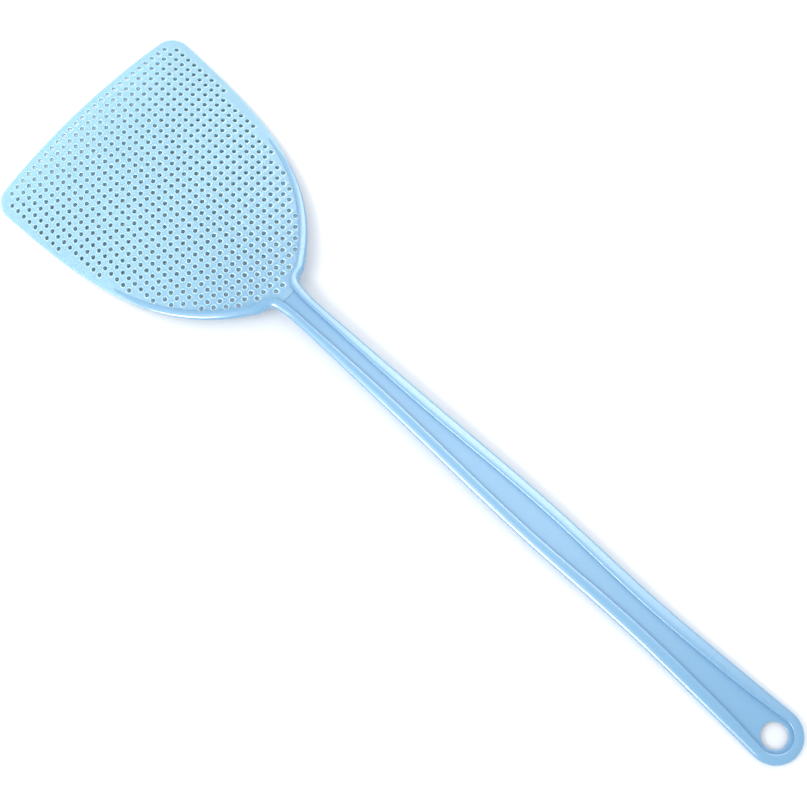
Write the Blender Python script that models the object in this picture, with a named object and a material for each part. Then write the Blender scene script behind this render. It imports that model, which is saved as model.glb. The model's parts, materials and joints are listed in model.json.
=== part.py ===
"""A plastic fly swatter, modelled as the zones that its one moulding is made of.

Frame: +Z up, +Y towards the blade's tip, +X to the right of a hand that holds the handle.
The origin is on the surface that the swatter lies on, below the middle of its length.

The blade is drawn flat and then rolled to its cup, crest up, so its two sides touch the
surface. The handle slopes down from the neck, so the hang end touches the surface as well.
Both are drawn from the neck line, across which the blade bends on the handle: the blade's own
y runs from there to the tip, and a place on the handle is a distance behind that line.
"""

import math

import bmesh
import bpy
from mathutils import Vector
from mathutils.geometry import interpolate_bezier

MM = 0.001

# Clearance between neighbouring zones, and at the neck line, where the blade bends.
GAP = 0.3 * MM
NECK_GAP = 0.15 * MM
BEND_CLEARANCE = math.radians(27.0)

# Blade
BLADE_LENGTH = 138.0 * MM
BLADE_HALF_WIDTH = 59.5 * MM
BLADE_THICKNESS = 1.4 * MM
CORNER_RADIUS = 8.5 * MM
CUP_RADIUS = 200.0 * MM
BORDER_WIDTH = 3.0 * MM
STRIP_WIDTH = 6.0 * MM
TANG_LENGTH = 2.8 * MM
TANG_GAP = 0.8 * MM

# The blade's side: a long convex curve from the corner, then the small fillet of the neck.
# Each is a cubic Bezier of (half width, distance in front of the neck line).
NECK_HALF_WIDTH = 7.6 * MM
SIDE_CURVE = (
    (BLADE_HALF_WIDTH, BLADE_LENGTH - CORNER_RADIUS),
    (58.0 * MM, 61.0 * MM),
    (47.0 * MM, 28.0 * MM),
    (14.5 * MM, 4.7 * MM),
)
FILLET_CURVE = (
    (14.5 * MM, 4.7 * MM),
    (12.8 * MM, 3.5 * MM),
    (7.6 * MM, 4.2 * MM),
    (NECK_HALF_WIDTH, 0.0),
)

# The bead on the blade's edge starts this far in front of the neck line, as thin as the blade,
# and has grown to the rib's section at the neck line.
BEAD_START = 60.0 * MM

# Handle
HOLE_DISTANCE = 278.2 * MM
HOLE_RADIUS = 5.65 * MM
END_RADIUS = 12.0 * MM
END_WEB_RADIUS = 7.6 * MM
WEB_TOP = 0.3 * MM
WEB_BOTTOM = -0.8 * MM
RIB_HALF_HEIGHT = 2.4 * MM
EYE_LENGTH = 13.0 * MM

# Widths along the handle: (distance behind the neck line, half width, half width of the web).
HANDLE_WIDTHS = (
    (0.0, NECK_HALF_WIDTH, 3.6 * MM),
    (9.0 * MM, 6.7 * MM, 3.1 * MM),
    (70.0 * MM, 7.9 * MM, 3.0 * MM),
    (145.0 * MM, 9.9 * MM, 5.1 * MM),
    (208.0 * MM, 9.4 * MM, 3.9 * MM),
    (256.0 * MM, 11.0 * MM, 5.6 * MM),
    (HOLE_DISTANCE, END_RADIUS, END_WEB_RADIUS),
)

# A rib's section from its crest beside the web down to its outer edge. Each point is a share of
# the rib's width and of its half height, and the lower half is the same upside down.
RIB_SECTION = ((0.0, 1.0), (0.45, 0.95), (0.8, 0.65), (1.0, 0.0))

# Number of sections along each swept or sampled stretch.
CORNER_STEPS = 8
SIDE_STEPS = 28
FILLET_STEPS = 12
RIB_STEPS = 36
BOW_STEPS = 20
HOLE_STEPS = 32

# Height of the neck above the surface, from the cup, and the slope that brings the hang end
# down to it. The blade's tip and the hang end are then equally far from the origin.
EDGE_DROP = (CUP_RADIUS - BLADE_THICKNESS / 2) * math.cos(BLADE_HALF_WIDTH / CUP_RADIUS)
NECK_HEIGHT = CUP_RADIUS - EDGE_DROP
HANDLE_SLOPE = math.asin((NECK_HEIGHT - RIB_HALF_HEIGHT) / (HOLE_DISTANCE + END_WEB_RADIUS))
HANDLE_REACH = (HOLE_DISTANCE + END_RADIUS) * math.cos(HANDLE_SLOPE)
NECK_Y = (HANDLE_REACH - BLADE_LENGTH) / 2

SIDES = {"left": -1, "right": 1}

# Base colour and roughness of each zone: the same plastic, as light as its thickness and
# its place make it look.
BLADE_FINISH = ((0.47, 0.74, 0.97, 1.0), 0.35)
BEAD_FINISH = ((0.50, 0.79, 0.97, 1.0), 0.30)
WEB_FINISH = ((0.37, 0.67, 0.94, 1.0), 0.35)


def plastic(name, finish):
    """Return a new moulded plastic material."""
    colour, roughness = finish
    material = bpy.data.materials.new(name)
    material.use_nodes = True
    shader = material.node_tree.nodes["Principled BSDF"]
    shader.inputs["Base Color"].default_value = colour
    shader.inputs["Roughness"].default_value = roughness
    shader.inputs["Metallic"].default_value = 0.0
    return material


def add_object(name, bm, finish, parent, smooth_angle=math.radians(35.0)):
    """Link the bmesh as a named object in its own material, below its parent empty."""
    bmesh.ops.recalc_face_normals(bm, faces=bm.faces)
    mesh = bpy.data.meshes.new(name)
    bm.to_mesh(mesh)
    bm.free()
    mesh.shade_smooth()
    mesh.set_sharp_from_angle(angle=smooth_angle)
    mesh.materials.append(plastic(f"{name}_plastic", finish))
    thing = bpy.data.objects.new(name, mesh)
    thing.parent = parent
    bpy.context.collection.objects.link(thing)
    return thing


def add_frame(name, slope):
    """Return an empty on the neck line's axis, turned about it by the slope."""
    frame = bpy.data.objects.new(name, None)
    frame.location = (0.0, NECK_Y, NECK_HEIGHT)
    frame.rotation_euler = (slope, 0.0, 0.0)
    bpy.context.collection.objects.link(frame)
    return frame


def bezier(curve, steps):
    """Return steps + 1 points of a planar cubic Bezier."""
    return [p.to_2d() for p in interpolate_bezier(*(Vector((*p, 0.0)) for p in curve), steps + 1)]


def right_outline():
    """Return the blade's outline on the +X side, from the tip's middle to the neck line."""
    flat_end = BLADE_HALF_WIDTH - CORNER_RADIUS
    strips = round(flat_end / STRIP_WIDTH)
    points = [Vector((flat_end * i / strips, BLADE_LENGTH)) for i in range(strips)]
    centre = Vector((flat_end, BLADE_LENGTH - CORNER_RADIUS))
    for i in range(CORNER_STEPS):
        angle = math.pi / 2 * (1.0 - i / CORNER_STEPS)
        points.append(centre + CORNER_RADIUS * Vector((math.cos(angle), math.sin(angle))))
    points += bezier(SIDE_CURVE, SIDE_STEPS)[:-1]
    points += bezier(FILLET_CURVE, FILLET_STEPS)
    return points


def inset(points, distance):
    """Return the points moved to their right, seen along the line, by a distance each."""
    moved = []
    for i, point in enumerate(points):
        along = points[min(i + 1, len(points) - 1)] - points[max(i - 1, 0)]
        across = Vector((along.y, -along.x)).normalized()
        moved.append(point + across * distance(point))
    return moved


def mirrored(points):
    """Return the points on the other side of the middle line, in the opposite order."""
    return [Vector((-p.x, p.y)) for p in reversed(points)]


def plate(outline, bottom, top):
    """Return a bmesh plate with the outline's shape between two heights."""
    bm = bmesh.new()
    base = bm.faces.new([bm.verts.new((p.x, p.y, bottom)) for p in outline])
    grown = bmesh.ops.extrude_face_region(bm, geom=[base])["geom"]
    lifted = [v for v in grown if isinstance(v, bmesh.types.BMVert)]
    bmesh.ops.translate(bm, verts=lifted, vec=(0.0, 0.0, top - bottom))
    return bm


def sweep(rings):
    """Return a bmesh solid through the rings, closed at both ends."""
    bm = bmesh.new()
    loops = [[bm.verts.new(p) for p in ring] for ring in rings]
    for one, other in zip(loops, loops[1:]):
        for i in range(len(one)):
            bm.faces.new((one[i - 1], one[i], other[i], other[i - 1]))
    bm.faces.new(loops[0])
    bm.faces.new(reversed(loops[-1]))
    return bm


def cut_into_strips(bm):
    """Cut the plate along the handle's direction, so that it can follow the cup."""
    cuts = int(BLADE_HALF_WIDTH / STRIP_WIDTH)
    for i in range(-cuts, cuts + 1):
        bmesh.ops.bisect_plane(
            bm,
            geom=bm.verts[:] + bm.edges[:] + bm.faces[:],
            plane_co=(i * STRIP_WIDTH, 0.0, 0.0),
            plane_no=(1.0, 0.0, 0.0),
        )


def roll_to_cup(bm):
    """Roll the flat shape round a cylinder along Y that lies below it."""
    for vert in bm.verts:
        angle = vert.co.x / CUP_RADIUS
        radius = CUP_RADIUS + vert.co.z
        vert.co.x = radius * math.sin(angle)
        vert.co.z = radius * math.cos(angle) - CUP_RADIUS


def section(outer, inner, half_height):
    """Return a rib's ring: the section between an outer and an inner point of the plan."""
    upper = [(inner.lerp(outer, width), half_height * height) for width, height in RIB_SECTION]
    lower = [(plan, -height) for plan, height in reversed(upper[:-1])]
    return [Vector((plan.x, plan.y, height)) for plan, height in upper + lower]


def smoothstep(x):
    """Return x between 0 and 1, eased at both ends."""
    x = min(max(x, 0.0), 1.0)
    return x * x * (3.0 - 2.0 * x)


def bead_growth(point):
    """Return how far the bead has grown at a place on the blade: 0 at its start, 1 at the neck."""
    return smoothstep(1.0 - point.y / BEAD_START)


def bead_width(point):
    """Return the width of the bead at a place on the blade's outline."""
    full = NECK_HALF_WIDTH - HANDLE_WIDTHS[0][2]
    return BORDER_WIDTH + (full - BORDER_WIDTH) * bead_growth(point)


def handle_widths(distance):
    """Return (half width, half width of the web) at a distance behind the neck line."""
    rows = HANDLE_WIDTHS
    last = len(rows) - 2
    i = next((i for i in range(last) if distance < rows[i + 1][0]), last)
    start, end = rows[i], rows[i + 1]
    before, after = rows[max(i - 1, 0)], rows[min(i + 2, len(rows) - 1)]
    span = end[0] - start[0]
    t = (distance - start[0]) / span
    widths = []
    for k in (1, 2):
        slope_in = (end[k] - before[k]) / (end[0] - before[0]) * span
        slope_out = (after[k] - start[k]) / (after[0] - start[0]) * span
        widths.append(
            (2 * t**3 - 3 * t**2 + 1) * start[k]
            + (t**3 - 2 * t**2 + t) * slope_in
            + (3 * t**2 - 2 * t**3) * end[k]
            + (t**3 - t**2) * slope_out
        )
    return widths


def web_side(start, end, steps):
    """Return the web's +X edge between two distances behind the neck line."""
    points = []
    for i in range(steps + 1):
        distance = start + (end - start) * i / steps
        points.append(Vector((handle_widths(distance)[1] - GAP, -distance)))
    return points


def inside_beads():
    """Return the +X edge of what the border and the beads enclose, a gap away from them."""
    return inset(right_outline(), lambda p: bead_width(p) + GAP)


def crossing(edge, height):
    """Return the point at which a downward edge passes a value of y."""
    above, below = next((a, b) for a, b in zip(edge, edge[1:]) if a.y >= height > b.y)
    return above.lerp(below, (above.y - height) / (above.y - below.y))


def between(edge, high, low):
    """Return the part of a downward edge between two values of y, cut exactly at both."""
    start = [crossing(edge, high)] if edge[0].y > high else []
    return start + [p for p in edge if low < p.y < high] + [crossing(edge, low)]


def make_blade_panel(parent):
    """Make the field that carries the blade's holes, as a plain cupped sheet."""
    edge = between(inside_beads(), BLADE_LENGTH, TANG_LENGTH + GAP)
    bm = plate(edge + mirrored(edge)[:-1], -BLADE_THICKNESS / 2, BLADE_THICKNESS / 2)
    cut_into_strips(bm)
    roll_to_cup(bm)
    add_object("blade_panel", bm, BLADE_FINISH, parent)


def make_blade_border(parent):
    """Make the plain margin along both sides and the tip, down to where the beads start."""
    right = between(right_outline(), BLADE_LENGTH + GAP, BEAD_START + GAP)
    outer = mirrored(right)[:-1] + right
    inner = inset(outer, lambda p: BORDER_WIDTH)
    half = BLADE_THICKNESS / 2
    rings = []
    for out, into in zip(outer, inner):
        corners = ((out, -half), (out, half), (into, half), (into, -half))
        rings.append([Vector((plan.x, plan.y, height)) for plan, height in corners])
    bm = sweep(rings)
    roll_to_cup(bm)
    add_object("blade_border", bm, BLADE_FINISH, parent)


def make_neck_bead(name, side, parent):
    """Make the bead that grows out of one edge of the blade and runs round the neck."""
    outline = right_outline()
    outer = between(outline, BEAD_START, outline[-1].y + NECK_GAP)
    inner = inset(outer, bead_width)
    half = BLADE_THICKNESS / 2
    rings = []
    for out, into in zip(outer, inner):
        rings.append(section(out, into, half + (RIB_HALF_HEIGHT - half) * bead_growth(out)))
    for point in rings[-1]:
        point.y = NECK_GAP + abs(point.z) * math.tan(BEND_CLEARANCE)
    for ring in rings:
        for point in ring:
            point.x *= side
    bm = sweep(rings)
    roll_to_cup(bm)
    add_object(name, bm, BEAD_FINISH, parent)


def make_blade_tang(parent):
    """Make the plain throat between the beads, from the holes to the step across the neck."""
    side = between(inside_beads(), TANG_LENGTH, TANG_GAP)
    bm = plate(side + mirrored(side), -BLADE_THICKNESS / 2, BLADE_THICKNESS / 2)
    add_object("blade_tang", bm, BLADE_FINISH, parent)


def make_handle_rib(name, side, parent):
    """Make the rail down one side of the handle, from the neck line to the hang end."""
    start, end = NECK_GAP, HOLE_DISTANCE - GAP / 2
    rings = []
    for i in range(RIB_STEPS + 1):
        distance = start + (end - start) * i / RIB_STEPS
        outer, inner = handle_widths(distance)
        plan = Vector((side * outer, -distance)), Vector((side * inner, -distance))
        rings.append(section(*plan, RIB_HALF_HEIGHT))
    add_object(name, sweep(rings), BEAD_FINISH, parent)


def make_handle_end_bow(parent):
    """Make the half circle of rail round the hang end."""
    trim = GAP / 2 / END_RADIUS
    rings = []
    for i in range(BOW_STEPS + 1):
        angle = trim + (math.pi - 2 * trim) * i / BOW_STEPS
        spoke = Vector((math.cos(angle), -math.sin(angle)))
        centre = Vector((0.0, -HOLE_DISTANCE))
        plan = centre + END_RADIUS * spoke, centre + END_WEB_RADIUS * spoke
        rings.append(section(*plan, RIB_HALF_HEIGHT))
    add_object("handle_end_bow", sweep(rings), BEAD_FINISH, parent)


def make_handle_web(parent):
    """Make the recessed floor of the handle, from the neck line to the hang eye."""
    side = web_side(NECK_GAP, HOLE_DISTANCE - EYE_LENGTH - GAP, RIB_STEPS)
    bm = plate(side + mirrored(side), WEB_BOTTOM, WEB_TOP)
    add_object("handle_web", bm, WEB_FINISH, parent)


def make_hang_eye(parent):
    """Make the plate inside the end bow, with the round hole that the swatter hangs by."""
    side = web_side(HOLE_DISTANCE - EYE_LENGTH, HOLE_DISTANCE, FILLET_STEPS)
    radius = END_WEB_RADIUS - GAP
    bow = []
    for i in range(1, BOW_STEPS):
        angle = math.pi * i / BOW_STEPS
        bow.append(Vector((radius * math.cos(angle), -HOLE_DISTANCE - radius * math.sin(angle))))
    bm = plate(side + bow + mirrored(side), WEB_BOTTOM, WEB_TOP)
    eye = add_object("hang_eye", bm, WEB_FINISH, parent)

    drill = bmesh.new()
    depth = 4 * (WEB_TOP - WEB_BOTTOM)
    bmesh.ops.create_cone(
        drill,
        cap_ends=True,
        segments=HOLE_STEPS,
        radius1=HOLE_RADIUS,
        radius2=HOLE_RADIUS,
        depth=depth,
    )
    bmesh.ops.translate(drill, verts=drill.verts, vec=(0.0, -HOLE_DISTANCE, 0.0))
    cutter = add_object("hang_hole_cutter", drill, WEB_FINISH, parent)
    cutter.hide_render = True
    cutter.display_type = "WIRE"
    cut = eye.modifiers.new("hang_hole", "BOOLEAN")
    cut.operation = "DIFFERENCE"
    cut.solver = "EXACT"
    cut.object = cutter


def main():
    """Clear the scene and build every zone below the empty that it moves or rests with."""
    for thing in list(bpy.data.objects):
        bpy.data.objects.remove(thing)

    blade = add_frame("neck_flex_axis", 0.0)
    make_blade_panel(blade)
    make_blade_border(blade)
    make_blade_tang(blade)
    for side_name, side in SIDES.items():
        make_neck_bead(f"neck_bead_{side_name}", side, blade)

    handle = add_frame("handle_frame", HANDLE_SLOPE)
    make_handle_web(handle)
    make_hang_eye(handle)
    make_handle_end_bow(handle)
    for side_name, side in SIDES.items():
        make_handle_rib(f"handle_rib_{side_name}", side, handle)


main()
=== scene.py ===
"""Looks for a one-piece moulded fly swatter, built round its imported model.

The swatter is drawn flat: x across, y from the neck line towards the blade's tip (the handle is
at negative y) and z up from the middle of the blade's sheet. Neck.place() then rolls the blade
to its cup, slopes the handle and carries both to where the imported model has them.
"""

import json
import logging
import math
from collections.abc import Sequence
from dataclasses import dataclass
from enum import Enum
from typing import Any

import bpy
import numpy as np
from mathutils import Matrix, Vector

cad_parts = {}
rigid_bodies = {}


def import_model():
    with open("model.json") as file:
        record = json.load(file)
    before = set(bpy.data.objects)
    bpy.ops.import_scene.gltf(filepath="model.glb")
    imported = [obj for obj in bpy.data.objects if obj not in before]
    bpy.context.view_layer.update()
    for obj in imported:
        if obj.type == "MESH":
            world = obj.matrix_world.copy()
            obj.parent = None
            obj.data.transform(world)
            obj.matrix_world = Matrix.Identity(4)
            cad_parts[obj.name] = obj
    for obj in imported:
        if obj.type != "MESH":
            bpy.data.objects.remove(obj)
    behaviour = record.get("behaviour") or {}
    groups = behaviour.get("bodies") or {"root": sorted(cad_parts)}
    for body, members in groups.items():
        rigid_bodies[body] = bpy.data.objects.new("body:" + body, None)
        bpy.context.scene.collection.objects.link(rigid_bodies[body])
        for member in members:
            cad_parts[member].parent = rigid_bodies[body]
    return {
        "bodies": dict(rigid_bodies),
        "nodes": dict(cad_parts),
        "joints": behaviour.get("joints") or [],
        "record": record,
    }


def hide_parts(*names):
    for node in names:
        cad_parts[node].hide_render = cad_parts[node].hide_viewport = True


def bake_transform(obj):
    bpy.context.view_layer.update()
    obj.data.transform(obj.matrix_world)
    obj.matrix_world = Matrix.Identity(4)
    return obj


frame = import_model()
LOG = logging.getLogger("fly_swatter")

MM = 0.001
WELD = 0.01 * MM  # points closer than this are merged
LEVEL = 0.01 * MM  # points within this of a height are at that height

# Painted shade along the swatter, as pairs of a flat piece's y and the tone there, from 0 (deep)
# to 1 (pale): painted deepest at the end of the handle and deep again where the blade starts.
PAINTED_SHADE_ALONG_SWATTER = (
    (-268 * MM, 0.00),
    (-244 * MM, 0.20),
    (-214 * MM, 0.45),
    (-176 * MM, 0.65),
    (-160 * MM, 0.88),
    (-64 * MM, 0.90),
    (-40 * MM, 0.80),
    (-16 * MM, 0.40),
    (-4 * MM, 0.25),
    (15 * MM, 0.15),
    (40 * MM, 0.50),
    (70 * MM, 0.70),
    (110 * MM, 0.75),
    (136 * MM, 0.90),
)


class Side(Enum):
    """A side of the middle line, as the sign of x there."""

    RIGHT = 1
    LEFT = -1


# --- Small tools -------------------------------------------------------------------------------


def smoothstep(x: np.ndarray | float) -> np.ndarray | float:
    """Ease a share at both ends.

    Args:
        x: the share, which is held between 0 and 1.

    Returns:
        The eased share, from 0 to 1.
    """
    held = np.clip(x, 0.0, 1.0)
    return held * held * (3.0 - 2.0 * held)


def linear(colour: str) -> tuple[float, float, float, float]:
    """Turn an sRGB hex colour into the linear colour that a shader socket takes.

    Args:
        colour: the colour as "#RRGGBB".

    Returns:
        Red, green, blue and an alpha of 1.
    """
    parts = [int(colour[i : i + 2], 16) / 255.0 for i in (1, 3, 5)]
    red, green, blue = (p / 12.92 if p <= 0.04045 else ((p + 0.055) / 1.055) ** 2.4 for p in parts)
    return red, green, blue, 1.0


def add_node(
    tree: bpy.types.NodeTree,
    kind: str,
    settings: dict[str, Any] | None = None,
    inputs: dict[str | int, Any] | None = None,
) -> bpy.types.Node:
    """Add a shader node, set it up and link it.

    Args:
        tree: the material's node tree.
        kind: the node's type, such as "ShaderNodeTexNoise".
        settings: attributes of the node itself.
        inputs: for each input socket a value, or an output socket to link from.

    Returns:
        The new node.
    """
    node = tree.nodes.new(kind)
    for key, value in (settings or {}).items():
        setattr(node, key, value)
    for key, value in (inputs or {}).items():
        if isinstance(value, bpy.types.NodeSocket):
            tree.links.new(value, node.inputs[key])
        else:
            node.inputs[key].default_value = value
    return node


def deselect_all() -> None:
    """Leave edit mode and select nothing."""
    if bpy.context.mode != "OBJECT":
        bpy.ops.object.mode_set(mode="OBJECT")
    bpy.ops.object.select_all(action="DESELECT")


def make_active(thing: bpy.types.Object) -> None:
    """Select one object alone and make it the active one.

    Args:
        thing: the object.
    """
    deselect_all()
    thing.select_set(True)
    bpy.context.view_layer.objects.active = thing


def new_active(name: str) -> bpy.types.Object:
    """Name the object that an operator has just added.

    Args:
        name: the name for the object and for its mesh.

    Returns:
        The object.
    """
    thing = bpy.context.active_object
    thing.name = name
    thing.data.name = name
    return thing


def points_of(thing: bpy.types.Object) -> np.ndarray:
    """Read the places of a mesh's vertices.

    Args:
        thing: the mesh object.

    Returns:
        x, y and z of each vertex, one row each.
    """
    flat = np.empty(len(thing.data.vertices) * 3)
    thing.data.vertices.foreach_get("co", flat)
    return flat.reshape(-1, 3)


def move_points(thing: bpy.types.Object, points: np.ndarray) -> None:
    """Put a mesh's vertices at new places.

    Args:
        thing: the mesh object.
        points: x, y and z of each vertex, one row each.
    """
    thing.data.vertices.foreach_set("co", np.ascontiguousarray(points, float).ravel())
    thing.data.update()


def select_open_edges(thing: bpy.types.Object, height: float) -> None:
    """Select the edges that border only one face and lie at a height, and enter edit mode.

    Args:
        thing: the mesh object.
        height: the z of both ends of such an edge, give or take the tolerance LEVEL.
    """
    make_active(thing)
    bpy.ops.object.mode_set(mode="EDIT")
    bpy.ops.mesh.select_mode(type="EDGE")
    bpy.ops.mesh.select_all(action="DESELECT")
    bpy.ops.mesh.select_non_manifold(
        extend=False,
        use_wire=False,
        use_boundary=True,
        use_multi_face=False,
        use_non_contiguous=False,
    )
    bpy.ops.object.mode_set(mode="OBJECT")
    mesh = thing.data
    inside = np.abs(points_of(thing)[:, 2] - height) < LEVEL
    ends = np.empty(len(mesh.edges) * 2, int)
    mesh.edges.foreach_get("vertices", ends)
    open_edge = np.empty(len(mesh.edges), bool)
    mesh.edges.foreach_get("select", open_edge)
    mesh.edges.foreach_set("select", open_edge & inside[ends.reshape(-1, 2)].all(axis=1))
    bpy.ops.object.mode_set(mode="EDIT")


def weld(thing: bpy.types.Object) -> None:
    """Merge the points of a mesh that are closer together than WELD.

    Args:
        thing: the mesh object.
    """
    make_active(thing)
    bpy.ops.object.mode_set(mode="EDIT")
    bpy.ops.mesh.select_all(action="SELECT")
    bpy.ops.mesh.remove_doubles(threshold=WELD)
    bpy.ops.object.mode_set(mode="OBJECT")


def close_up(thing: bpy.types.Object, smooth_angle: float = math.radians(40.0)) -> None:
    """Merge doubles, turn every face outwards and shade the mesh smooth below an angle.

    Args:
        thing: the mesh object.
        smooth_angle: two faces that meet at less than this are shaded as one surface.
    """
    weld(thing)
    bpy.ops.object.mode_set(mode="EDIT")
    bpy.ops.mesh.select_all(action="SELECT")
    bpy.ops.mesh.normals_make_consistent(inside=False)
    bpy.ops.object.mode_set(mode="OBJECT")
    bpy.ops.object.shade_smooth_by_angle(angle=smooth_angle)


def add_grid(name: str, places: np.ndarray) -> bpy.types.Object:
    """Add a grid and put its points at given places.

    Args:
        name: the new object's name.
        places: places, as row by point by coordinate.

    Returns:
        The new object.
    """
    rows, columns, _ = places.shape
    deselect_all()
    bpy.ops.mesh.primitive_grid_add(x_subdivisions=columns - 1, y_subdivisions=rows - 1, size=1.0)
    thing = new_active(name)
    move_points(thing, places.reshape(-1, 3))
    return thing


def loft(name: str, rings: np.ndarray) -> bpy.types.Object:
    """Wrap a grid round a row of equal rings, so that it makes one tube with closed ends.

    Args:
        name: the new object's name.
        rings: places, as ring by point by coordinate; the last point of a ring meets the first.

    Returns:
        The new object.
    """
    thing = add_grid(name, np.concatenate([rings, rings[:, :1]], axis=1))
    weld(thing)
    bpy.ops.object.mode_set(mode="EDIT")
    bpy.ops.mesh.select_mode(type="EDGE")
    bpy.ops.mesh.select_all(action="DESELECT")
    bpy.ops.mesh.select_non_manifold()
    bpy.ops.mesh.fill_holes(sides=0)
    bpy.ops.object.mode_set(mode="OBJECT")
    return thing


def evenly(line: np.ndarray, spacing: float) -> np.ndarray:
    """Place points along a line at equal steps.

    Args:
        line: the line's points in plan, one row each.
        spacing: the step that is aimed at.

    Returns:
        The new points, with the line's own two ends among them.
    """
    steps = np.hypot(*np.diff(line, axis=0).T)
    along = np.concatenate([[0.0], np.cumsum(steps)])
    count = max(2, round(along[-1] / spacing) + 1)
    at = np.linspace(0.0, along[-1], count)
    return np.stack([np.interp(at, along, line[:, k]) for k in (0, 1)], axis=1)


def bezier(curve: Sequence[tuple[float, float]], count: int) -> np.ndarray:
    """Place points on a planar cubic Bezier curve.

    Args:
        curve: its two ends with its two pulls between them.
        count: the number of points.

    Returns:
        The points, with the curve's ends among them.
    """
    t = np.linspace(0.0, 1.0, count)[:, None]
    a, b, c, d = (np.array(p) for p in curve)
    return (1 - t) ** 3 * a + 3 * (1 - t) ** 2 * t * b + 3 * (1 - t) * t**2 * c + t**3 * d


def inset(line: np.ndarray, distance: np.ndarray | float) -> np.ndarray:
    """Move a line to its right, as seen along it.

    Args:
        line: the line's points in plan, one row each.
        distance: how far, for all points or for each.

    Returns:
        The moved points.
    """
    along = np.gradient(line, axis=0)
    along[0] = line[1] - line[0]
    along[-1] = line[-1] - line[-2]
    across = np.stack([along[:, 1], -along[:, 0]], axis=1)
    across /= np.hypot(*across.T)[:, None]
    return line + across * np.broadcast_to(distance, len(line))[:, None]


# --- Finishes ----------------------------------------------------------------------------------


@dataclass(frozen=True)
class MouldedPolypropylene:
    """Sky blue polypropylene as it leaves a polished mould: satin, even and a little milky.

    The eye gets a soft wide highlight and a faint cloudiness where the melt flowed, and the raised
    lips get a painted highlight, a paler colour for light that catches them and passes through. The
    finish reads two attributes of the mesh: "tone", painted shade from 0 for deep to 1 for pale,
    and
    "lip", which is 1 on the top of a lip, where the painted highlight goes.

    Attributes:
        name: the material's name.
        deep: the plastic's colour where its tone is deep.
        pale: its colour where its tone is pale.
        lip: its colour on a raised lip, a painted highlight.
        roughness: the middle roughness.
        roughness_spread: how far the flow of the melt moves it either way.
        ior: polypropylene's index of refraction.
        subsurface: the share of light that scatters inside.
        depth: how far that light travels.
        scatter: how far its red, green and blue travel, as shares of the depth.
        flow_size: the size of a cloud of the flow, across the swatter.
        flow_stretch: the scale of the clouds' pattern along the swatter, against across.
        cloudiness: how much the clouds add to the tone.
        grain_size: the size of the mould's grain, drawn coarser than it is so that it shows.
        grain_strength: how much of that grain shows.
        grain_depth: the height that the grain is drawn with.
    """

    name: str
    deep: str = "#9CCBF0"
    pale: str = "#A9D5F4"
    lip: str = "#B0D9DE"
    roughness: float = 0.34
    roughness_spread: float = 0.06
    ior: float = 1.49
    subsurface: float = 0.12
    depth: float = 1.2 * MM
    scatter: tuple[float, float, float] = (0.7, 0.9, 1.0)
    flow_size: float = 22.0 * MM
    flow_stretch: float = 0.35
    cloudiness: float = 0.2
    grain_size: float = 0.9 * MM
    grain_strength: float = 0.05
    grain_depth: float = 0.1 * MM

    def material(self) -> bpy.types.Material:
        """Make a new material with this finish.

        Returns:
            The material.
        """
        made = bpy.data.materials.new(self.name)
        made.use_nodes = True
        tree = made.node_tree
        shader = tree.nodes["Principled BSDF"]
        shader.inputs["IOR"].default_value = self.ior
        shader.inputs["Metallic"].default_value = 0.0
        shader.inputs["Subsurface Weight"].default_value = self.subsurface
        shader.inputs["Subsurface Radius"].default_value = self.scatter
        shader.inputs["Subsurface Scale"].default_value = self.depth

        place = add_node(tree, "ShaderNodeTexCoord").outputs["Object"]
        stretched = add_node(
            tree,
            "ShaderNodeMapping",
            inputs={"Vector": place, "Scale": (1.0, self.flow_stretch, 1.0)},
        )
        flow = add_node(
            tree,
            "ShaderNodeTexNoise",
            inputs={
                "Vector": stretched.outputs["Vector"],
                "Scale": 1.0 / self.flow_size,
                "Detail": 3.0,
                "Roughness": 0.55,
            },
        )
        # The "tone" attribute is painted shade along the swatter; the melt's clouds are added to
        # it.
        tone = add_node(tree, "ShaderNodeAttribute", {"attribute_name": "tone"})
        clouded = add_node(
            tree,
            "ShaderNodeMath",
            {"operation": "MULTIPLY_ADD", "use_clamp": True},
            {0: flow.outputs["Fac"], 1: self.cloudiness, 2: tone.outputs["Fac"]},
        )
        body = add_node(
            tree,
            "ShaderNodeMix",
            {"data_type": "RGBA"},
            {"Factor": clouded.outputs["Value"], "A": linear(self.deep), "B": linear(self.pale)},
        )
        # The lip colour on the lips' tops is a painted highlight.
        thin = add_node(tree, "ShaderNodeAttribute", {"attribute_name": "lip"})
        whole = add_node(
            tree,
            "ShaderNodeMix",
            {"data_type": "RGBA"},
            {"Factor": thin.outputs["Fac"], "A": body.outputs["Result"], "B": linear(self.lip)},
        )
        tree.links.new(whole.outputs["Result"], shader.inputs["Base Color"])

        gloss = add_node(
            tree,
            "ShaderNodeMapRange",
            inputs={
                "Value": flow.outputs["Fac"],
                "To Min": self.roughness - self.roughness_spread,
                "To Max": self.roughness + self.roughness_spread,
            },
        )
        tree.links.new(gloss.outputs["Result"], shader.inputs["Roughness"])
        grain = add_node(
            tree,
            "ShaderNodeTexNoise",
            inputs={"Vector": place, "Scale": 1.0 / self.grain_size, "Detail": 2.0},
        )
        bump = add_node(
            tree,
            "ShaderNodeBump",
            inputs={
                "Height": grain.outputs["Fac"],
                "Strength": self.grain_strength,
                "Distance": self.grain_depth,
            },
        )
        tree.links.new(bump.outputs["Normal"], shader.inputs["Normal"])
        return made


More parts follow.
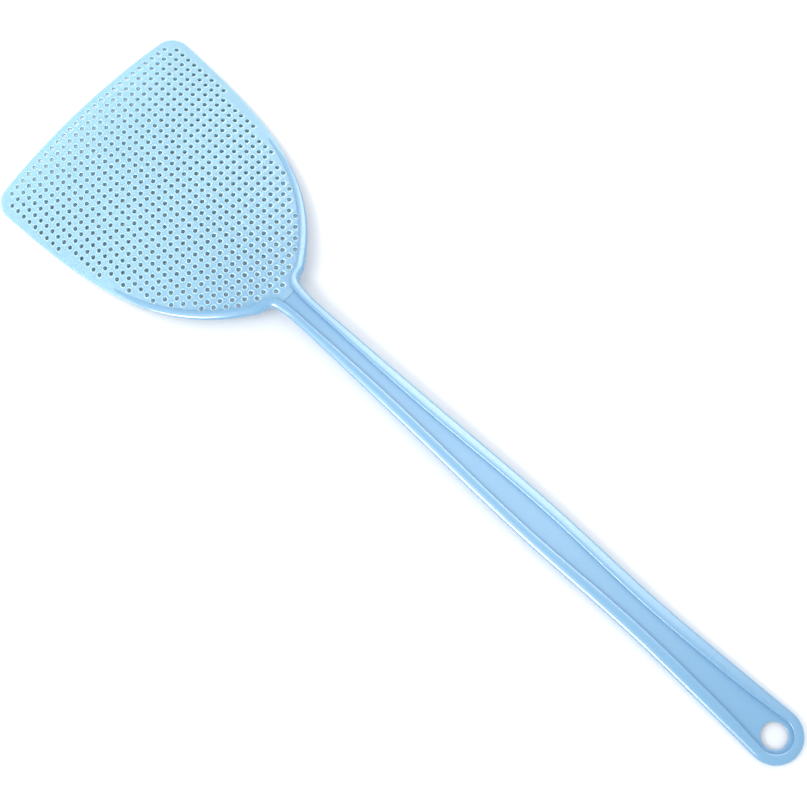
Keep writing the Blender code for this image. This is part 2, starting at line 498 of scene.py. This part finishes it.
@dataclass(frozen=True)
class MattePaper:
    """A sheet of pale studio paper, matte, with a tone that hardly varies.

    Attributes:
        name: the material's name.
        tone: the paper's colour.
        darker: its colour where its fibres lie closer.
        cloud_size: the size of such a place.
        roughness: the paper's roughness, with hardly a highlight.
        shine: the share of a usual surface's reflection that it has.
    """

    name: str = "studio_paper_matte"
    tone: str = "#F6F7F8"
    darker: str = "#F3F5F6"
    cloud_size: float = 60.0 * MM
    roughness: float = 0.95
    shine: float = 0.1

    def material(self) -> bpy.types.Material:
        """Make a new material with this finish.

        Returns:
            The material.
        """
        made = bpy.data.materials.new(self.name)
        made.use_nodes = True
        tree = made.node_tree
        shader = tree.nodes["Principled BSDF"]
        shader.inputs["Roughness"].default_value = self.roughness
        shader.inputs["Specular IOR Level"].default_value = self.shine
        place = add_node(tree, "ShaderNodeTexCoord").outputs["Object"]
        fibres = add_node(
            tree, "ShaderNodeTexNoise", inputs={"Vector": place, "Scale": 1.0 / self.cloud_size}
        )
        tone = add_node(
            tree,
            "ShaderNodeMix",
            {"data_type": "RGBA"},
            {"Factor": fibres.outputs["Fac"], "A": linear(self.tone), "B": linear(self.darker)},
        )
        tree.links.new(tone.outputs["Result"], shader.inputs["Base Color"])
        return made


# --- The swatter's shape -----------------------------------------------------------------------


@dataclass(frozen=True)
class Neck:
    """Where the blade meets the handle, and how each lies from there.

    Attributes:
        y: the neck line's place along the swatter.
        z: its height.
        slope: the angle at which the handle goes down from it.
        cup_radius: the radius that the blade is rolled to.
        ease: how far on each side of the line one shape passes into the other.
        bend_ahead: not used.
        bend_behind: not used.
    """

    y: float
    z: float
    slope: float
    cup_radius: float = 200.0 * MM
    ease: float = 8.0 * MM
    bend_ahead: float = 16.0 * MM
    bend_behind: float = 12.0 * MM

    @classmethod
    def from_frame(cls, packed: dict[str, Any]) -> "Neck":
        """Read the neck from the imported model's joint and from the slope of its mounts.


        Returns:
            The neck.
        """
        _, y, z = packed["joints"][0]["pos_m"]
        normal = packed["record"]["mounts"][0]["axis"]
        return cls(y=y, z=z, slope=math.asin(-normal[1]))

    def place(self, flat: np.ndarray) -> np.ndarray:
        """Carry flat points to their place on the swatter.

        Args:
            flat: x, y and z of each point, one row each.

        Returns:
            The places in the frame, one row each.
        """
        x, y, z = flat.T
        angle = x / self.cup_radius
        radius = self.cup_radius + z
        rolled = radius * np.cos(angle) - self.cup_radius
        blade = np.stack([radius * np.sin(angle), y, rolled], axis=1)
        sine, cosine = math.sin(self.slope), math.cos(self.slope)
        handle = np.stack([x, y * cosine - z * sine, y * sine + z * cosine], axis=1)
        share = smoothstep((y + self.ease) / (2 * self.ease))[:, None]
        return share * blade + (1 - share) * handle + np.array([0.0, self.y, self.z])

    def settle(self, piece: bpy.types.Object) -> None:
        """Carry a finished flat piece to its place, where it passes from the blade's cup into the
        handle.

        Args:
            piece: the piece, whose mesh is final but for its place.
        """
        move_points(piece, self.place(points_of(piece)))
        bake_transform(piece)


@dataclass(frozen=True)
class BladeOutline:
    """The blade's outline: a straight tip, two round corners and a long curve down to the neck.

    Attributes:
        half_width: half of the widest width, just under the corners.
        length: the length from the neck line to the tip.
        corner_radius: the radius of the two corners.
        neck_half_width: half of the width at the neck line.
        side_pulls: the two pulls of the long curve.
        shoulder: where that curve passes into the fillet at the neck.
        fillet_pulls: the two pulls of the fillet.
        fine: the number of points that each curve is first drawn with.
    """

    half_width: float = 59.5 * MM
    length: float = 138.0 * MM
    corner_radius: float = 8.5 * MM
    neck_half_width: float = 7.6 * MM
    side_pulls: tuple[tuple[float, float], ...] = ((58.0 * MM, 61.0 * MM), (47.0 * MM, 28.0 * MM))
    shoulder: tuple[float, float] = (14.5 * MM, 4.7 * MM)
    fillet_pulls: tuple[tuple[float, float], ...] = ((12.8 * MM, 3.5 * MM), (7.6 * MM, 4.2 * MM))
    fine: int = 60

    def right(self, spacing: float) -> np.ndarray:
        """Draw the +X side, from the middle of the tip to the neck line.

        Args:
            spacing: the step between points.

        Returns:
            The points in plan, one row each.
        """
        flat_end = self.half_width - self.corner_radius
        centre = np.array([flat_end, self.length - self.corner_radius])
        turn = np.linspace(math.pi / 2, 0.0, self.fine)
        corner = centre + self.corner_radius * np.stack([np.cos(turn), np.sin(turn)], axis=1)
        side = bezier((tuple(corner[-1]), *self.side_pulls, self.shoulder), self.fine)
        fillet = bezier((self.shoulder, *self.fillet_pulls, (self.neck_half_width, 0.0)), self.fine)
        tip = np.array([[0.0, self.length]])
        return evenly(np.concatenate([tip, corner, side[1:], fillet[1:]]), spacing)


@dataclass(frozen=True)
class Bead:
    """How the rim grows along the blade's edge, from the sheet's thickness to the handle's rib.

    Attributes:
        start: how far from the neck line it starts to grow.
        thin_width: its width there.
        full_width: its width at the neck line.
        thin_half_height: half of its height where it starts, a little over the sheet's.
        half_height: half of its height at the neck line and along the handle.
    """

    start: float = 60.0 * MM
    thin_width: float = 3.0 * MM
    full_width: float = 4.0 * MM
    thin_half_height: float = 0.72 * MM
    half_height: float = 2.4 * MM

    def growth(self, y: np.ndarray) -> np.ndarray:
        """Say how far the bead has grown.

        Args:
            y: distances from the neck line.

        Returns:
            0 where the bead starts, 1 at the neck line.
        """
        return smoothstep(1.0 - y / self.start)

    def width(self, y: np.ndarray) -> np.ndarray:
        """Say how wide the bead is.

        Args:
            y: distances from the neck line.

        Returns:
            The width at each.
        """
        return self.thin_width + (self.full_width - self.thin_width) * self.growth(y)


@dataclass
class PiercedBlade:
    """The cupped sheet with its field of round holes, each in a small raised lip.

    Attributes:
        outline: the blade's outline.
        bead: the rim's growth, which the sheet's edge draws back under.
        half_thickness: half of the sheet's thickness.
        pitch: the distance between holes, across and along.
        hole_radius: the radius of a hole.
        mouth_height: the height of the hole's upper edge.
        crest_radius: the radius of the lip's crest.
        crest_height: the height of that crest.
        foot_radius: the radius at which the lip meets the sheet.
        sides: the number of sides that a hole is drawn with.
        holes_in_column: the number of holes in each column, from the middle outwards.
        skipped_at_corner: how many holes the outermost column starts later than the others.
        first_row: the distance of the tip's row of holes from the neck line.
        edge_radius: how far in from the outline the sheet's edge starts to round.
        edge_steps: the number of steps of that rounding.
        edge_spacing: the step between points round the outline.
        drawn_back: how far the sheet's edge lies inside the rim's where the rim is full grown.
    """

    outline: BladeOutline
    bead: Bead
    half_thickness: float = 0.7 * MM
    pitch: float = 4.0 * MM
    hole_radius: float = 1.0 * MM
    mouth_height: float = 0.62 * MM
    crest_radius: float = 1.25 * MM
    crest_height: float = 0.86 * MM
    foot_radius: float = 1.75 * MM
    sides: int = 12
    holes_in_column: tuple[int, ...] = (33, 32, 32, 31, 31, 30, 29, 28, 26, 25, 23, 20, 16, 9)
    skipped_at_corner: int = 1
    first_row: float = 134.0 * MM
    edge_radius: float = 0.5 * MM
    edge_steps: int = 6
    edge_spacing: float = 1.3 * MM
    drawn_back: float = 0.9 * MM

    def build(self) -> bpy.types.Object:
        """Make the flat sheet with its holes, its plain margin and its rounded edge.

        Returns:
            The sheet.
        """
        sheet = self.hole_field()
        edge = self.rounded_edge()
        deselect_all()
        edge.select_set(True)
        sheet.select_set(True)
        bpy.context.view_layer.objects.active = sheet
        bpy.ops.object.join()
        self.fill_margin(sheet, self.half_thickness)
        self.fill_margin(sheet, -self.half_thickness)
        close_up(sheet)
        self.mark_lip_highlights(sheet)
        return sheet

    def square_up(self, cell: bpy.types.Object) -> None:
        """Move the selected ring of a cell out to the square that it shares with its neighbours.

        Args:
            cell: the cell, in edit mode.
        """
        bpy.ops.object.mode_set(mode="OBJECT")
        picked = np.empty(len(cell.data.vertices), bool)
        cell.data.vertices.foreach_get("select", picked)
        points = points_of(cell)
        reach = np.abs(points[picked, :2]).max(axis=1)[:, None]
        points[picked, :2] *= self.pitch / 2 / reach
        move_points(cell, points)
        bpy.ops.object.mode_set(mode="EDIT")

    def extrude_ring(self, factor: float, lift: float) -> None:
        """Extrude the selected ring, scale it about the hole and lift it.

        Args:
            factor: the new ring's radius against the old one's.
            lift: how far up it goes.
        """
        bpy.ops.mesh.extrude_region_move()
        bpy.ops.transform.resize(value=(factor, factor, 1.0))
        bpy.ops.transform.translate(value=(0.0, 0.0, lift))

    def hole_cell(self) -> bpy.types.Object:
        """Make one hole with its lip, in a square of sheet that is open at its four sides.

        Returns:
            The cell.
        """
        deselect_all()
        bpy.ops.mesh.primitive_circle_add(
            vertices=self.sides,
            radius=self.hole_radius,
            location=(0.0, 0.0, self.mouth_height),
            rotation=(0.0, 0.0, math.pi / self.sides),
        )
        cell = new_active("hole_cell")
        bpy.ops.object.transform_apply(location=True, rotation=True, scale=True)
        bpy.ops.object.mode_set(mode="EDIT")
        bpy.ops.mesh.select_all(action="SELECT")
        rise = self.crest_height - self.mouth_height
        fall = self.half_thickness - self.crest_height
        self.extrude_ring(self.crest_radius / self.hole_radius, rise)
        self.extrude_ring(self.foot_radius / self.crest_radius, fall)
        self.extrude_ring(1.0, 0.0)
        self.square_up(cell)

        select_open_edges(cell, self.mouth_height)
        self.extrude_ring(1.0, -self.half_thickness - self.mouth_height)
        self.extrude_ring(self.foot_radius / self.hole_radius, 0.0)
        self.square_up(cell)
        bpy.ops.object.mode_set(mode="OBJECT")
        return cell

    def hole_field(self) -> bpy.types.Object:
        """Copy the cell column by column and merge the cells where they meet.

        Returns:
            The field of holes.
        """
        cell = self.hole_cell()
        columns = []
        last = len(self.holes_in_column) - 1
        for index, count in enumerate(self.holes_in_column):
            for side in Side:
                column = cell.copy()
                column.data = cell.data.copy()
                bpy.context.collection.objects.link(column)
                skipped = self.skipped_at_corner if index == last else 0
                x = side.value * (index + 0.5) * self.pitch
                y = self.first_row - skipped * self.pitch
                column.data.transform(Matrix.Translation((x, y, 0.0)))
                rows = column.modifiers.new("rows", "ARRAY")
                rows.count = count
                rows.use_relative_offset = False
                rows.use_constant_offset = True
                rows.constant_offset_displace = (0.0, -self.pitch, 0.0)
                make_active(column)
                bpy.ops.object.modifier_apply(modifier=rows.name)
                columns.append(column)
        bpy.data.objects.remove(cell)
        deselect_all()
        for column in columns:
            column.select_set(True)
        bpy.context.view_layer.objects.active = columns[0]
        bpy.ops.object.join()
        field = new_active("pierced_blade")
        weld(field)
        return field

    def rounded_edge(self) -> bpy.types.Object:
        """Make the band round the outline, which is open at the top and at the bottom.

        Returns:
            The band.
        """
        right = self.outline.right(self.edge_spacing)
        right = inset(right, self.drawn_back * self.bead.growth(right[:, 1]))
        right[-1, 1] = 0.0
        right[0, 0] = 0.0
        left = right[::-1] * (-1.0, 1.0)
        throat = evenly(np.stack([right[-1], left[0]]), self.edge_spacing)[1:-1]
        loop = np.concatenate([right, throat, left[:-1]])
        closed = np.concatenate([loop[-1:], loop, loop[:1]])
        inner = inset(closed, self.edge_radius)[1:-1]
        turn = np.linspace(math.pi / 2, -math.pi / 2, self.edge_steps + 1)
        share, height = np.cos(turn), np.sin(turn)
        plan = inner[:, None] + (loop - inner)[:, None] * share[None, :, None]
        level = np.broadcast_to(height * self.half_thickness, plan.shape[:2])
        band = np.concatenate([plan, level[..., None]], axis=2)
        edge = add_grid("blade_edge", np.concatenate([band, band[:1]]))
        weld(edge)
        return edge

    def fill_margin(self, sheet: bpy.types.Object, height: float) -> None:
        """Fill the flat margin between the field of holes and the rounded edge.

        Args:
            sheet: the sheet.
            height: the height of the margin, which is the sheet's top or its bottom.
        """
        select_open_edges(sheet, height)
        bpy.ops.mesh.fill(use_beauty=True)
        bpy.ops.object.mode_set(mode="OBJECT")

    def mark_lip_highlights(self, sheet: bpy.types.Object) -> None:
        """Write how much each vertex belongs to a raised lip's top, where the finish paints a
        highlight.

        Args:
            sheet: the flat sheet.
        """
        height = points_of(sheet)[:, 2]
        share = (height - self.half_thickness) / (self.crest_height - self.half_thickness)
        lip = sheet.data.attributes.new("lip", "FLOAT", "POINT")
        lip.data.foreach_set("value", np.clip(share, 0.0, 1.0).astype(np.float32))


@dataclass
class Rim:
    """The rail that runs down one side of the blade and the handle, round the end and back.

    Attributes:
        outline: the blade's outline, which the rail starts along.
        bead: how the rail grows there.
        widths: down the handle, (distance behind the neck line, half width, floor's half width).
        hole_distance: the distance of the hang hole's centre behind the neck line.
        end_radius: the radius of the end outside the rail.
        end_floor_radius: the radius of the floor inside the rail there.
        roundness: the exponent of the rail's outward curve; 2 is an ellipse and more is squarer.
        crest_share: the share of the rail's width from its inner wall to its crest.
        shoulder_height: the share of its height at which its inner wall starts to round.
        shoulder_angles: the angles, in degrees, of the points of that rounding.
        curve_steps: the number of steps of the outward curve.
        spacing: the step between sections along the rail.
        emerge: the length over which each end of the rail comes out of the blade's sheet.
        hidden_height: half of its height at such an end, inside the sheet.
        hidden_inset: how far inside the outline such an end starts.
        smooth_angle: the angle below which its faces are shaded as one surface.
    """

    outline: BladeOutline
    bead: Bead
    widths: tuple[tuple[float, float, float], ...] = (
        (0.0, 7.6 * MM, 3.6 * MM),
        (9.0 * MM, 6.7 * MM, 3.1 * MM),
        (70.0 * MM, 7.9 * MM, 3.0 * MM),
        (145.0 * MM, 9.9 * MM, 5.1 * MM),
        (208.0 * MM, 9.4 * MM, 3.9 * MM),
        (256.0 * MM, 11.0 * MM, 5.6 * MM),
        (278.2 * MM, 12.0 * MM, 7.6 * MM),
    )
    hole_distance: float = 278.2 * MM
    end_radius: float = 12.0 * MM
    end_floor_radius: float = 7.6 * MM
    roundness: float = 2.4
    crest_share: float = 0.12
    shoulder_height: float = 0.84
    shoulder_angles: tuple[float, ...] = (60.0, 30.0, 0.0)
    curve_steps: int = 9
    spacing: float = 1.6 * MM
    emerge: float = 14.0 * MM
    hidden_height: float = 0.55 * MM
    hidden_inset: float = 0.5 * MM
    smooth_angle: float = math.radians(50.0)

    def half_widths(self, distance: np.ndarray) -> np.ndarray:
        """Draw smooth curves through the widths.

        Args:
            distance: distances behind the neck line.

        Returns:
            The half width and the floor's half width at each, one row each.
        """
        rows = np.array(self.widths)
        along, values = rows[:, 0], rows[:, 1:]
        slopes = np.empty_like(values)
        slopes[1:-1] = (values[2:] - values[:-2]) / (along[2:] - along[:-2])[:, None]
        slopes[0] = (values[1] - values[0]) / (along[1] - along[0])
        slopes[-1] = (values[-1] - values[-2]) / (along[-1] - along[-2])
        at = np.clip(np.searchsorted(along, distance, side="right") - 1, 0, len(rows) - 2)
        span = (along[at + 1] - along[at])[:, None]
        t = (distance[:, None] - along[at][:, None]) / span
        return (
            (2 * t**3 - 3 * t**2 + 1) * values[at]
            + (t**3 - 2 * t**2 + t) * span * slopes[at]
            + (3 * t**2 - 2 * t**3) * values[at + 1]
            + (t**3 - t**2) * span * slopes[at + 1]
        )

    def section(self) -> np.ndarray:
        """Draw the rail's section.

        Returns:
            The share of the width from the inner wall and the share of the half height of each
            point, one row each.
        """
        turn = np.linspace(0.0, math.pi / 2, self.curve_steps + 1)
        power = 2.0 / self.roundness
        share = self.crest_share + (1.0 - self.crest_share) * np.cos(turn) ** power
        outer = np.stack([share, np.sin(turn) ** power], axis=1)
        back = np.radians(self.shoulder_angles)
        drop = 1.0 - self.shoulder_height
        inner_share = self.crest_share * (1.0 - np.cos(back))
        inner = np.stack([inner_share, self.shoulder_height + drop * np.sin(back)], axis=1)
        upper = np.concatenate([outer, inner])
        lower = upper[:0:-1] * (1.0, -1.0)
        return np.concatenate([upper, lower])

    def paths(self) -> tuple[np.ndarray, np.ndarray, np.ndarray]:
        """Draw the rail's lines from end to end, by the handle's end.

        Returns:
            The outer line, the inner line and the half height at each pair of their points.
        """
        blade = self.outline.right(self.spacing)
        blade = blade[blade[:, 1] < self.bead.start + self.emerge]
        growth = self.bead.growth(blade[:, 1])
        out_of_sheet = smoothstep((self.bead.start + self.emerge - blade[:, 1]) / self.emerge)
        inner = inset(blade, self.bead.width(blade[:, 1]))
        blade = inset(blade, self.hidden_inset * (1.0 - out_of_sheet))
        thin_height = self.bead.thin_half_height
        thin = self.hidden_height + (thin_height - self.hidden_height) * out_of_sheet
        height = thin + (self.bead.half_height - thin_height) * growth
        blade[-1, 1] = 0.0
        inner[-1, 1] = 0.0

        count = round(self.hole_distance / self.spacing)
        distance = np.linspace(0.0, self.hole_distance, count + 1)[1:]
        outer_half, floor_half = self.half_widths(distance).T
        handle_outer = np.stack([outer_half, -distance], axis=1)
        handle_inner = np.stack([floor_half, -distance], axis=1)

        steps = round(math.pi * self.end_radius / self.spacing)
        turn = np.linspace(0.0, math.pi / 2, steps // 2 + 1)[1:]
        spoke = np.stack([np.cos(turn), -np.sin(turn)], axis=1)
        centre = np.array([0.0, -self.hole_distance])
        outer = np.concatenate([blade, handle_outer, centre + self.end_radius * spoke])
        inside = np.concatenate([inner, handle_inner, centre + self.end_floor_radius * spoke])
        full = np.full(len(outer) - len(height), self.bead.half_height)
        height = np.concatenate([height, full])
        mirror = np.array([-1.0, 1.0])
        return (
            np.concatenate([outer, outer[-2::-1] * mirror]),
            np.concatenate([inside, inside[-2::-1] * mirror]),
            np.concatenate([height, height[-2::-1]]),
        )

    def build(self) -> bpy.types.Object:
        """Make the flat rail as one closed tube.

        Returns:
            The rail.
        """
        outer, inner, height = self.paths()
        share, rise = self.section().T
        plan = inner[:, None] + (outer - inner)[:, None] * share[None, :, None]
        level = height[:, None] * rise[None, :]
        rail = loft("blade_and_handle_rim", np.concatenate([plan, level[..., None]], axis=2))
        close_up(rail, self.smooth_angle)
        return rail


@dataclass
class HandleFloor:
    """The recessed floor between the ribs, from the neck to the round hang hole in its end.

    Attributes:
        rim: the rail that the floor lies inside.
        top: the height of its upper face.
        bottom: the height of its lower face.
        tucked_under_blade: how far it reaches past the neck line.
        tucked_into_rim: how far each edge lies inside the rail.
        hole_radius: the radius of the hang hole.
        hole_sides: the number of sides that the hole is drawn with.
        hole_rounding: the radius of the rounding of the hole's two edges.
        rounding_steps: the number of steps of that rounding.
        overcut: how far above a face the drill is still as wide as on it.
        drill_reach: how far the drill stands out of both faces.
        spacing: the step between rows of points along the floor.
        across: the number of steps across it.
        bow_steps: the number of steps of its round end.
        smooth_angle: the angle below which its faces are shaded as one surface.
    """

    rim: Rim
    top: float = 0.3 * MM
    bottom: float = -0.8 * MM
    tucked_under_blade: float = 0.6 * MM
    tucked_into_rim: float = 0.8 * MM
    hole_radius: float = 5.65 * MM
    hole_sides: int = 64
    hole_rounding: float = 0.28 * MM
    rounding_steps: int = 4
    overcut: float = 0.02 * MM
    drill_reach: float = 1.0 * MM
    spacing: float = 2.5 * MM
    across: int = 6
    bow_steps: int = 9
    smooth_angle: float = math.radians(30.0)

    def half_widths(self, distance: np.ndarray) -> np.ndarray:
        """Say how wide the floor is, with what is hidden in the rim, also round the end.

        Args:
            distance: distances behind the neck line.

        Returns:
            Half of the width at each.
        """
        straight = self.rim.half_widths(np.clip(distance, 0.0, self.rim.hole_distance))[:, 1]
        past = np.clip(distance - self.rim.hole_distance, 0.0, None)
        radius = self.rim.end_floor_radius + self.tucked_into_rim
        bow = np.sqrt(np.clip(radius**2 - past**2, 0.0, None))
        return np.where(past > 0.0, bow, straight + self.tucked_into_rim)

    def build(self) -> bpy.types.Object:
        """Make the flat floor with its hang hole.

        Returns:
            The floor.
        """
        rim = self.rim
        count = round(rim.hole_distance / self.spacing)
        straight = np.linspace(-self.tucked_under_blade, rim.hole_distance, count + 1)
        turn = np.radians(np.arange(1, self.bow_steps) * (90.0 / self.bow_steps))
        bow = rim.hole_distance + (rim.end_floor_radius + self.tucked_into_rim) * np.sin(turn)
        distance = np.concatenate([straight, bow])
        half = self.half_widths(distance)
        share = np.linspace(-1.0, 1.0, self.across + 1)
        x = half[:, None] * share[None, :]
        y = np.broadcast_to(-distance[:, None], x.shape)
        floor = add_grid("handle_floor", np.stack([x, y, np.full_like(x, self.bottom)], axis=2))
        bpy.ops.object.mode_set(mode="EDIT")
        bpy.ops.mesh.select_all(action="SELECT")
        bpy.ops.mesh.extrude_region_move(
            TRANSFORM_OT_translate={"value": (0.0, 0.0, self.top - self.bottom)}
        )
        bpy.ops.mesh.select_all(action="SELECT")
        bpy.ops.mesh.normals_make_consistent(inside=False)
        bpy.ops.object.mode_set(mode="OBJECT")
        self.drill(floor)
        close_up(floor, self.smooth_angle)
        return floor

    def drill(self, floor: bpy.types.Object) -> None:
        """Cut the hang hole with a drill that widens at both faces, which rounds its edges.

        Args:
            floor: the flat floor.
        """
        turn = np.linspace(0.0, math.pi / 2, self.rounding_steps + 1)
        flare = self.hole_rounding * (1.0 - np.sin(turn))
        rise = self.hole_rounding * (1.0 - np.cos(turn))
        rise[0] = -self.overcut
        reach = self.hole_radius + np.concatenate([flare[:1], flare, flare[::-1], flare[:1]])
        low, high = self.bottom - self.drill_reach, self.top + self.drill_reach
        height = np.concatenate([[low], self.bottom + rise, (self.top - rise)[::-1], [high]])
        around = np.arange(self.hole_sides) * (2 * math.pi / self.hole_sides)
        x = reach[:, None] * np.cos(around)[None, :]
        y = reach[:, None] * np.sin(around)[None, :] - self.rim.hole_distance
        z = np.broadcast_to(height[:, None], x.shape)
        drill = loft("hang_hole_drill", np.stack([x, y, z], axis=2))
        close_up(drill)
        cut = floor.modifiers.new("hang_hole", "BOOLEAN")
        cut.operation = "DIFFERENCE"
        cut.solver = "EXACT"
        cut.object = drill
        make_active(floor)
        bpy.ops.object.modifier_apply(modifier=cut.name)
        bpy.data.objects.remove(drill)


# --- Studio ------------------------------------------------------------------------------------


@dataclass(frozen=True)
class Softbox:
    """A flat light that faces the frame's origin, with its length along the swatter.

    Attributes:
        name: the light's name.
        place: where it hangs.
        length: its length.
        width: its width.
        radiance: how bright its surface is, in watts per square metre and steradian.
        only_reflected: whether it is only seen in glossy surfaces and gives no other light.
    """

    name: str
    place: tuple[float, float, float]
    length: float
    width: float
    radiance: float
    only_reflected: bool = False

    def hang(self) -> None:
        """Add the light to the scene."""
        lamp = bpy.data.lights.new(self.name, "AREA")
        lamp.shape = "RECTANGLE"
        lamp.size_y, lamp.size = self.length, self.width
        lamp.energy = self.radiance * math.pi * self.length * self.width
        box = bpy.data.objects.new(self.name, lamp)
        bpy.context.collection.objects.link(box)
        back = Vector(self.place).normalized()
        across = Vector((0.0, 1.0, 0.0)).cross(back).normalized()
        along = back.cross(across)
        turned = Matrix((across, along, back)).transposed().to_4x4()
        box.matrix_world = Matrix.Translation(self.place) @ turned
        box.visible_diffuse = not self.only_reflected


@dataclass
class Studio:
    """A pale floor in even light, with a softbox and two reflection cards, and the camera.

    The softbox on the left gives the soft shadows. The cards are seen only as highlights, on the
    left and on the right.

    Attributes:
        neck: the swatter's neck, which the camera's places are given from.
        paper: the floor's finish.
        lights: the softbox and the cards.
        camera_offset: the camera's place from the neck.
        aim_offset: the point that the camera looks at, from the neck.
        picture_up: the angle in plan, from +X, of the direction that is up in the picture.
        lens: the focal length, in millimetres.
        sensor_width: the width of the sensor, in millimetres.
        clip: the nearest and the furthest distance that the camera sees.
        world_tone: the colour of the even light.
        world_strength: how strong it is.
        floor_size: the length of the floor's sides.
    """

    neck: Neck
    paper: MattePaper = MattePaper()
    lights: tuple[Softbox, ...] = (
        Softbox("left_softbox", (-0.52, 0.15, 0.75), 0.50, 0.25, 5.5),
        Softbox("left_card", (-0.68, 0.01, 0.28), 0.34, 0.24, 60.0, only_reflected=True),
        Softbox("right_card", (0.56, 0.10, 0.52), 0.46, 0.90, 9.5, only_reflected=True),
    )
    camera_offset: tuple[float, float, float] = (-109.91 * MM, -241.59 * MM, 661.37 * MM)
    aim_offset: tuple[float, float, float] = (-1.23 * MM, -71.64 * MM, 0.0)
    picture_up: float = math.radians(43.635)
    lens: float = 71.24
    sensor_width: float = 36.0
    clip: tuple[float, float] = (0.01, 50.0)
    world_tone: str = "#FBFCFF"
    world_strength: float = 1.18
    floor_size: float = 8.0

    def build(self) -> None:
        """Make the floor, the world, the lights and the camera."""
        self.make_floor()
        self.make_world()
        for light in self.lights:
            light.hang()
        self.make_camera()

    def make_floor(self) -> None:
        """Lay the paper that the swatter lies on."""
        deselect_all()
        bpy.ops.mesh.primitive_plane_add(size=self.floor_size)
        floor = new_active("studio_floor")
        floor.data.materials.append(self.paper.material())

    def make_world(self) -> None:
        """Light the scene evenly from all round."""
        world = bpy.data.worlds.new("pale_studio")
        world.use_nodes = True
        sky = world.node_tree.nodes["Background"]
        sky.inputs["Color"].default_value = linear(self.world_tone)
        sky.inputs["Strength"].default_value = self.world_strength
        bpy.context.scene.world = world

    def make_camera(self) -> None:
        """Set up the camera over the hand's side of the swatter, turned across the picture."""
        neck = Vector((0.0, self.neck.y, self.neck.z))
        eye = neck + Vector(self.camera_offset)
        back = (eye - (neck + Vector(self.aim_offset))).normalized()
        up = Vector((math.cos(self.picture_up), math.sin(self.picture_up), 0.0))
        right = up.cross(back).normalized()
        up = back.cross(right)
        camera = bpy.data.objects.new("camera", bpy.data.cameras.new("camera"))
        camera.data.lens = self.lens
        camera.data.sensor_width = self.sensor_width
        camera.data.clip_start, camera.data.clip_end = self.clip
        turned = Matrix((right, up, back)).transposed().to_4x4()
        camera.matrix_world = Matrix.Translation(eye) @ turned
        bpy.context.collection.objects.link(camera)
        bpy.context.scene.camera = camera


# --- The whole ---------------------------------------------------------------------------------


def mark_painted_shade(piece: bpy.types.Object, stations: Sequence[tuple[float, float]]) -> None:
    """Write the painted shade at each vertex of a flat piece, for the finish to read.

    Args:
        piece: the flat piece.
        stations: pairs of a y and the tone there, from 0 (deep) to 1 (pale), in order of y.
    """
    at, tones = np.array(stations).T
    tone = piece.data.attributes.new("tone", "FLOAT", "POINT")
    tone.data.foreach_set("value", np.interp(points_of(piece)[:, 1], at, tones).astype(np.float32))


def finish_piece(
    piece: bpy.types.Object,
    finish: MouldedPolypropylene,
    neck: Neck,
    replaced: Sequence[str],
) -> None:
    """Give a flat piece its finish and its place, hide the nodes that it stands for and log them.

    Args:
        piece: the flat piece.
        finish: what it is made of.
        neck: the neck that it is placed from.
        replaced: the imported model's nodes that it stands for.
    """
    piece.data.materials.clear()
    piece.data.materials.append(finish.material())
    # Painted shade along the piece: paler where more light falls.
    mark_painted_shade(piece, PAINTED_SHADE_ALONG_SWATTER)
    neck.settle(piece)
    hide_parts(*replaced)
    faces = len(piece.data.polygons)
    LOG.info("%s: %d faces, stands for %s", piece.name, faces, ", ".join(replaced))


def main() -> None:
    """Build the swatter's three pieces and the studio."""
    logging.basicConfig(level=logging.INFO, format="%(name)s: %(message)s")
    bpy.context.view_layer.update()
    bpy.context.scene.view_settings.view_transform = "Standard"

    neck = Neck.from_frame(frame)
    outline = BladeOutline()
    bead = Bead()
    rim = Rim(outline, bead)
    # Thin and milky: light gets far into it, and its colour is painted paler as painted light.
    thin = MouldedPolypropylene(
        "thin_polypropylene_moulded", deep="#7DA8C8", pale="#A2CDDF", subsurface=0.6, depth=3 * MM
    )
    # A deep, even blue with a sharper highlight: the rim is thick and its mould is polished.
    thick = MouldedPolypropylene(
        "thick_polypropylene_moulded", deep="#77A6C8", pale="#84B3D3", roughness=0.27
    )
    # A satin surface that shows its mould's grain.
    # Its colour is painted a shade deeper than the blade's, as painted shade on the recessed floor.
    flat = MouldedPolypropylene("flat_polypropylene_moulded", deep="#74A5C8", pale="#8AB5D4")

    finish_piece(
        PiercedBlade(outline, bead).build(),
        thin,
        neck,
        ("blade_panel", "blade_border", "blade_tang"),
    )
    finish_piece(
        rim.build(),
        thick,
        neck,
        (
            "neck_bead_left",
            "neck_bead_right",
            "handle_rib_left",
            "handle_rib_right",
            "handle_end_bow",
        ),
    )
    finish_piece(HandleFloor(rim).build(), flat, neck, ("handle_web", "hang_eye"))

    Studio(neck).build()


if __name__ == "__main__":
    main()
